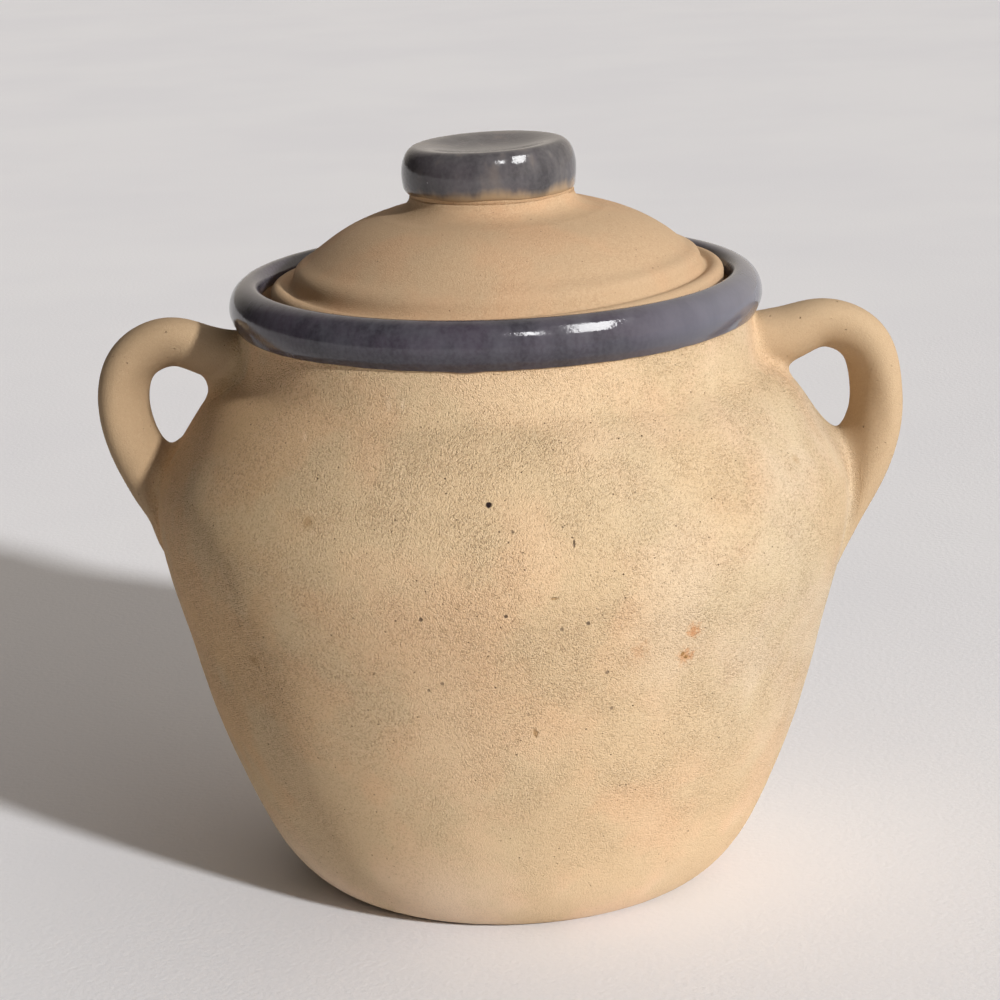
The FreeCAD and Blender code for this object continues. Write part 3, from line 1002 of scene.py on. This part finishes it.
def knobRun(start):
    # From the side above its foot round the crest to the middle of the dished top.
    widest = knobRadius - coat
    side = (widest, knobFoot + knob["middle"])
    crest = (knob["crestRadius"], knobTop - coat)
    bottom = (lid["neckRadius"], knobFoot + start)
    bulge = (widest, knobFoot + knob["middle"] / 2)
    hollow = curveThrough([crest, (crest[0] / 2, crest[1] - knob["dish"] * knob["dishShare"]),
                           (0.0, crest[1] - knob["dish"])], (-1.0, 0.0), (-1.0, 0.0), 24)
    rounded = quarterArc(side, (widest, crest[1]), crest, 22)
    return joined(quarterArc(bottom, bulge, side, 16), rounded, hollow)


def knobPlaced(radius, height, angle):
    # The knob's points leaned towards -x and moved off the middle, more the higher they are.
    lift = np.clip((height - knobFoot) / knob["leanRun"], 0, 1)
    uneven = 1 + knob["unevenness"] * waved(angle, height, knobWaves)
    points = placed(radius * uneven, height, angle)
    points[..., 2] += lift * knob["tilt"] * points[..., 0]
    points[..., 0] += knob["shift"] * lift - knob["tilt"] * (height - knobFoot) * 0.5
    return points


def makeKnob():
    foot = knobFoot - knob["sunkFoot"]
    profile = joined(straight((0.0, foot), (lid["neckRadius"], foot), 8), knobRun(knob["bare"]))
    radius, height, angle = roundGrid(profile, knob["columns"])
    return skinPiece("knobClay", knobPlaced(radius, height, angle), "poles")


def makeKnobCoat():
    # The coat's front thins out to nothing at its wavy lower edge; the back lies inside the clay.
    clay = knobRun(knob["bare"])
    angle = np.linspace(0.0, 2 * math.pi, knob["columns"], endpoint=False)[None, :]
    edge = knob["edgeStart"] + knob["edgeWave"] * waved(angle, 0.0, knobEdgeWaves)
    share = (np.linspace(0.0, 1.0, knob["rows"]) ** 1.25)[:, None]
    where = edge + (runLengths(clay)[-1] - edge) * share
    full = np.clip((where - edge) / knob["fullRun"], 0, 1)
    thick = coat * np.sqrt(1 - (1 - full) ** 2)
    front = knobPlaced(*offLine(clay, where, thick), angle)
    behind = knobPlaced(*offLine(clay, where, -knob["sunk"]), angle)[::-1][:-1]
    thin = np.clip(1 - (where - edge) / knob["thinRun"], 0, 1)
    thin = np.vstack([thin[::-1][:-1], thin])
    return skinPiece("knobCoat", np.vstack([behind, front]), "poles", {"thin": thin})


dress(makeKnob(), stonewareMaterial("knobShadedStoneware", lidShadedClay), "lid", "lid_knob")
knobGlaze = {
    **slate,
    "deep": tone(60, 58, 61),
    "pale": tone(112, 109, 110),
    "purple": tone(80, 73, 78),
    "litGlazeShare": 0.0,
    "bare": tone(158, 134, 104),
    "thinFrom": 0.05,
    "streaked": 0.5,
}
dress(makeKnobCoat(), glazeMaterial("knobGlaze", knobGlaze), "lid", "knob_glaze")

# Each ear is an oval carried along a path from the neck out and down to the belly. A station is
# (out from the axis, height, half the thickness, half the width). Blend gives heights, and how
# widely the clay is smoothed into the wall at each.
ears = {
    "earRight": {
        "side": 1,
        "node": "handle_right",
        "stations": ((51.7, 114.8, 5.9, 7.8), (58.2, 115.7, 6.2, 7.8), (63.5, 117.1, 5.8, 7.7),
                     (69.5, 118.7, 5.1, 7.6), (78.4, 114.8, 4.8, 7.5), (81.4, 106.0, 4.5, 7.5),
                     (81.4, 99.0, 4.7, 7.5), (79.9, 92.2, 4.8, 7.4), (77.6, 85.0, 4.5, 6.7),
                     (74.9, 77.4, 3.5, 5.3), (72.6, 70.8, 2.4, 3.9), (70.6, 65.6, 1.6, 3.0)),
        "blend": ((72.0, 84.0, 98.0, 108.0, 116.0, 120.0), (2.0, 3.0, 7.0, 4.5, 3.5, 1.4)),
    },
    "earLeft": {
        "side": -1,
        "node": "handle_left",
        "stations": ((51.7, 115.4, 5.5, 7.8), (58.2, 116.4, 5.5, 7.8), (63.5, 118.1, 5.2, 7.7),
                     (69.5, 119.9, 5.1, 7.6), (78.2, 116.2, 4.8, 7.5), (81.2, 107.4, 4.4, 7.4),
                     (79.9, 99.4, 4.6, 7.1), (77.6, 92.6, 4.6, 6.6), (75.8, 86.4, 3.9, 5.3),
                     (74.0, 80.5, 2.9, 3.9), (73.2, 75.6, 2.0, 3.0), (71.4, 71.6, 1.4, 2.3)),
        "blend": ((80.0, 86.0, 93.0, 110.0, 116.0, 120.0), (0.6, 1.2, 5.5, 7.0, 4.0, 1.6)),
    },
}
earShape = {
    "along": 120,
    "around": 72,
    "twist": 28.0,                  # degrees that the strap's inner face is turned to the front
    "skirtRows": 14,
    "clearShare": 0.6,              # of the blend: the tube is kept this far off the wall,
    "mostReach": 14.0,              # and the skirt reaches no further than this out over it
    "calmFrom": 3.0,                # the clay is as smooth as the ear's from this height on
    "unevenness": 0.16,
    "swayStep": 0.3,
    "swayReach": 6.0,
    "bury": 0.2,                    # the skirt's edge ends this far inside the wall
    "capDepth": 3.5,
    "smoothRounds": 10,
}
earWaves = waves(8, 3, 0.25)


def wallDistance(points):
    # Height of points above the wall, square to it.
    height = points[..., 2]
    step = 0.5
    slope = (wallRadius(height + step) - wallRadius(height - step)) / (2 * step)
    away = np.hypot(points[..., 0], points[..., 1]) - wallRadius(height)
    return away / np.sqrt(1 + slope ** 2)


def earDistance(points, path, ways, half):
    # Distance to the oval tube round the path, measured in the section nearest to each point.
    flat = points.reshape(-1, 3)
    nearest = ((path ** 2).sum(axis=1) - 2 * flat @ path.T).argmin(axis=1)
    away = flat - path[nearest]
    section = np.stack([(away * way[nearest]).sum(axis=-1) for way in ways], axis=-1)
    scaled = np.linalg.norm(section / half[nearest], axis=-1)
    stretched = np.linalg.norm(section / half[nearest] ** 2, axis=-1)
    distance = scaled * (scaled - 1) / np.maximum(stretched, 1e-6)
    return distance.reshape(points.shape[:-1])


def slopeOf(distances, points):
    # How fast a distance grows along x, y and z, from small steps.
    step = 0.05
    value = distances(points)
    return np.stack([(distances(points + step * axis) - value) / step for axis in np.eye(3)], axis=-1)


def smoothedIn(points, distances, widths):
    # Points moved along the slope of the blended distance until it is nought, and evened out
    # between their neighbours on the way. The blended distance is the smaller of the two, less
    # blend * share squared / 4, where the share falls from 1 where the two are equal to 0 where
    # they differ by blend.
    def blended(where):
        first, second = wallDistance(where), distances(where)
        blend = np.interp(where[..., 2], *widths)
        share = np.clip(1 - np.abs(first - second) / blend, 0, 1)
        return np.minimum(first, second) - blend * share ** 2 / 4

    for turn in range(earShape["smoothRounds"]):
        if 1 < turn < 6:
            sides = (np.roll(points, 1, axis=1) + np.roll(points, -1, axis=1)) / 2
            points = 0.7 * points + 0.3 * sides
            points[1:-1] = 0.5 * points[1:-1] + 0.25 * (points[:-2] + points[2:])
        slope = slopeOf(blended, points)
        size = np.maximum((slope ** 2).sum(axis=-1), 0.2)
        points = points - (blended(points) / size)[..., None] * slope
    return points


def crossing(values, fromEnd):
    # The row, with its fraction, where each column first rises above nought from either end.
    seen = values[::-1] if fromEnd else values
    row = (seen > 0).argmax(axis=0)
    column = np.arange(seen.shape[1])
    before, after = seen[row - 1, column], seen[row, column]
    place = row - after / (after - before)
    return len(seen) - 1 - place if fromEnd else place


def pointsAt(tube, row):
    # The tube's points at fractional rows, one for each column.
    low = np.clip(np.floor(row).astype(int), 0, len(tube) - 2)
    part = (row - low)[..., None]
    column = np.arange(tube.shape[1])[None, :]
    return tube[low, column] * (1 - part) + tube[low + 1, column] * part


def earSkirt(kept, meeting, distances, widths):
    # From the end of the kept tube to the wall on a parabola whose middle lies on the blended
    # surface. It leads as far out over the wall as the two surfaces influence each other.
    blend = np.interp(meeting[:, 2], *widths)[:, None]
    wallWay, tubeWay = (unit(slopeOf(given, meeting)) for given in (wallDistance, distances))
    halfWay = unit(wallWay + tubeWay, 0.1)
    lean = (wallWay * tubeWay).sum(axis=1)[:, None]
    opening = np.where(lean < 0, np.sqrt(1 - lean ** 2), 1.0)
    steep = np.maximum((halfWay * wallWay).sum(axis=1), 0.2)[:, None]
    middle = meeting + halfWay * blend / (4 * steep)
    away = unit(tubeWay - lean * wallWay, 0.1)
    end = meeting + away * np.minimum(blend / opening, earShape["mostReach"])
    end -= wallWay * wallDistance(end)[:, None]
    corner = 2 * middle - (kept + end) / 2
    share = (np.arange(earShape["skirtRows"]) + 1)[:, None, None] / earShape["skirtRows"]
    return softCorner(kept, corner, end, share)


def makeEar(name, values):
    # The tube is middle + half thickness * cos * thick way + half width * sin * wide way, where the
    # two ways are outward and depth turned by the twist. It is kept where it stands clear of the
    # wall, and a skirt leads from each end of that over the wall.
    side = values["side"]
    track = curveThrough(values["stations"], None, None, 200)
    path = np.stack([track[:, 0], np.zeros(len(track)), track[:, 1]], axis=-1)
    half = track[:, 2:]
    along = unit(np.gradient(path, axis=0))
    outward = np.stack([-along[:, 2], np.zeros(len(along)), along[:, 0]], axis=-1)
    around = np.linspace(0.0, 2 * math.pi, earShape["around"], endpoint=False)
    depth = np.array([0.0, 1.0, 0.0])
    twist = math.radians(earShape["twist"])
    thickWay = outward * math.cos(twist) + depth * math.sin(twist)
    wideWay = depth * math.cos(twist) - outward * math.sin(twist)
    tube = (path[:, None, :] + (half[:, :1] * np.cos(around))[..., None] * thickWay[:, None, :]
            + (half[:, 1:] * np.sin(around))[..., None] * wideWay[:, None, :])

    def distances(where):
        return earDistance(where, path, (thickWay, wideWay), half)

    gap = wallDistance(tube)
    clear = gap - earShape["clearShare"] * np.interp(tube[..., 2], *values["blend"])
    share = np.linspace(0.0, 1.0, earShape["along"])[:, None]
    first, last = crossing(clear, False), crossing(clear, True)
    kept = pointsAt(tube, first + (last - first) * share)
    meetings = [pointsAt(tube, crossing(gap, fromEnd)[None, :])[0] for fromEnd in (False, True)]
    skirts = [earSkirt(kept[end], meeting, distances, values["blend"])
              for end, meeting in zip((0, -1), meetings)]
    rows = np.concatenate([skirts[0][::-1], kept, skirts[1]])
    rows = smoothedIn(rows, distances, values["blend"])
    calm = np.clip(wallDistance(rows) / earShape["calmFrom"], 0, 1)
    climb = np.arange(len(rows))[:, None] * earShape["swayStep"]
    sway = waved(around[None, :], climb, earWaves) * calm
    fromMiddle = rows - rows.mean(axis=1, keepdims=True)
    rows = rows + sway[..., None] * earShape["unevenness"] * fromMiddle / earShape["swayReach"]
    outwards = unit(rows * np.array([1.0, 1.0, 0.0]))
    # Where it lies on the wall it follows the wall's own swell.
    swell = thrownSwell(np.arctan2(rows[..., 1], side * rows[..., 0]), rows[..., 2]) * (1 - calm)
    for end in (0, -1):
        swell[end] -= earShape["bury"] + wallDistance(rows[end])
    rows = rows + outwards * swell[..., None]
    deeper = np.array([earShape["capDepth"], 0.0, 0.0])
    heart = [rows[end].mean(axis=0, keepdims=True) - deeper for end in (0, -1)]
    caps = [np.repeat(middle, earShape["around"], axis=0)[None] for middle in heart]
    rows = np.concatenate([caps[0], rows, caps[1]])
    calm = np.concatenate([calm[:1], calm, calm[-1:]])
    if side < 0:
        rows = rows[:, ::-1] * np.array([-1.0, 1.0, 1.0])
        calm = calm[:, ::-1]
    return skinPiece(name, rows, "poles", {"calm": calm})


for earName, earValues in ears.items():
    dress(makeEar(earName, earValues), potClay, "pot", earValues["node"])

studio = {
    "floorTone": tone(236, 236, 239),
    "floorShade": tone(232, 232, 236),
    "floorBounce": tone(232, 233, 237),     # what the floor casts back on the pot
    "floorSize": 12.0,
    "floorCloud": 6.0,
    "floorFibre": (700.0, 0.0001),          # scale and depth
    # The main light is a lamp low on the right; azimuth 0 is in front and grows to the right.
    "keyAzimuth": 40.0,
    "keyElevation": 24.0,
    "keySpread": 4.0,
    "keyStrength": 3.6,
    # Two windows that show in the glaze alone: azimuth, elevation, lean, size in metres, power.
    "lamps": {
        "rightLamp": (55.0, 51.0, 31.0, (1.0, 2.4), 140.0),
        "frontLamp": (18.0, 50.0, 0.0, (0.4, 1.0), 29.0),
    },
    "lampDistance": 4.0,
    "roomLevel": 0.085,
    "roomDark": 0.02,               # away from the main light
    "glowLevel": 0.74,              # round the main light
    "glowAzimuth": 60.0,
    "horizonLevel": 0.35,           # a pale band, no higher than horizonTop, except on the left
    "horizonTop": 0.16,
    "wallLevel": 0.6,               # the pale wall behind, brighter on the right
    "wallWay": (0.42, 0.86, 0.28),
}


def makeFloor():
    size = studio["floorSize"]
    across = np.linspace(-size, size, 25)
    x, y = np.meshgrid(across, across)
    index = np.arange(x.size).reshape(x.shape)
    mesh = bpy.data.meshes.new("studioFloor")
    vertices = np.stack([x, y, np.zeros_like(x)], axis=-1).reshape(-1, 3)
    mesh.from_pydata(vertices, [], gridFaces(index))
    floor = bpy.data.objects.new("studioFloor", mesh)
    scene.collection.objects.link(floor)
    material, tree, where = newMaterial("paleFloor")
    cloud = useGroup(tree, kilnCloud, {"Vector": where, "Scale": studio["floorCloud"], "Sharpness": 0.0})
    colour = blendColours(tree, cloud.outputs["Mask"], studio["floorTone"], studio["floorShade"])
    ray = tree.nodes.new("ShaderNodeLightPath")
    seen = maths(tree, "MAXIMUM", ray.outputs["Is Camera Ray"], ray.outputs["Is Glossy Ray"])
    seen = maths(tree, "MAXIMUM", seen, ray.outputs["Is Transmission Ray"])
    colour = blendColours(tree, seen, studio["floorBounce"], colour)
    scale, depth = studio["floorFibre"]
    fibre = addNode(tree, "ShaderNodeTexNoise", {"Vector": where, "Scale": scale, "Detail": 3.0})
    roughness = spread(tree, fibre.outputs["Fac"], 0.3, 0.7, 0.85, 0.95)
    finishMaterial(tree, colour, roughness, fibre.outputs["Fac"], depth, {"Specular IOR Level": 0.15})
    mesh.materials.append(material)


def lightFrom(azimuth, elevation):
    # The way from the pot to a light; azimuth 0 is in front and grows to the right.
    turn, lift = math.radians(azimuth), math.radians(elevation)
    return Vector((math.sin(turn) * math.cos(lift), -math.cos(turn) * math.cos(lift), math.sin(lift)))


def makeLight(name, kind, way, distance):
    data = bpy.data.lights.new(name, kind)
    light = bpy.data.objects.new(name, data)
    scene.collection.objects.link(light)
    light.rotation_euler = (-way).to_track_quat("-Z", "Y").to_euler()
    light.location = Vector((0.0, 0.0, 0.1)) + way * distance
    return light, data


def makeKey():
    light, data = makeLight("keyLamp", "SUN", lightFrom(studio["keyAzimuth"], studio["keyElevation"]), 3.0)
    data.angle = math.radians(studio["keySpread"])
    data.energy = studio["keyStrength"]
    light.visible_glossy = False        # the glaze shows only the two lamps


def makeLamp(name, azimuth, elevation, lean, size, power):
    light, data = makeLight(name, "AREA", lightFrom(azimuth, elevation), studio["lampDistance"])
    light.rotation_euler.rotate_axis("Z", -math.radians(lean))
    light.visible_diffuse = False
    data.shape = "RECTANGLE"
    data.size, data.size_y = size
    data.energy = power


def makeWorld():
    # A dim room, paler towards the main light, in a band along the horizon and behind the pot.
    world = bpy.data.worlds.new("studioWorld")
    scene.world = world
    world.use_nodes = True
    tree = world.node_tree
    tree.nodes.clear()
    direction = tree.nodes.new("ShaderNodeTexCoord").outputs["Generated"]
    glowWay = tuple(lightFrom(studio["glowAzimuth"], studio["keyElevation"]))
    facing = addNode(tree, "ShaderNodeVectorMath", {0: direction, 1: glowWay}, operation="DOT_PRODUCT")
    glow = maths(tree, "POWER", maths(tree, "MAXIMUM", facing.outputs["Value"], 0.0), 4.0)
    room = spread(tree, facing.outputs["Value"], -0.9, 0.2, studio["roomDark"], studio["roomLevel"])
    level = plus(tree, times(tree, glow, studio["glowLevel"]), room)
    rise = addNode(tree, "ShaderNodeSeparateXYZ", {"Vector": direction}).outputs["Z"]
    reach = spread(tree, facing.outputs["Value"], -0.35, 0.5, 0.04, studio["horizonLevel"])
    band = times(tree, spread(tree, rise, studio["horizonTop"], 0.0), reach)
    behind = addNode(tree, "ShaderNodeVectorMath", {0: direction, 1: studio["wallWay"]},
                     operation="DOT_PRODUCT")
    wall = spread(tree, behind.outputs["Value"], 0.25, 0.9, 0.0, studio["wallLevel"])
    band = maths(tree, "MAXIMUM", band, wall)
    sky = addNode(tree, "ShaderNodeBackground", {"Color": tone(255, 245, 234),
                  "Strength": plus(tree, level, band)})
    end = tree.nodes.new("ShaderNodeOutputWorld")
    tree.links.new(sky.outputs["Background"], end.inputs["Surface"])


makeFloor()
makeKey()
for lampName, lampValues in studio["lamps"].items():
    makeLamp(lampName, *lampValues)
makeWorld()
scene.view_settings.view_transform = "Standard"
print("studio ready")
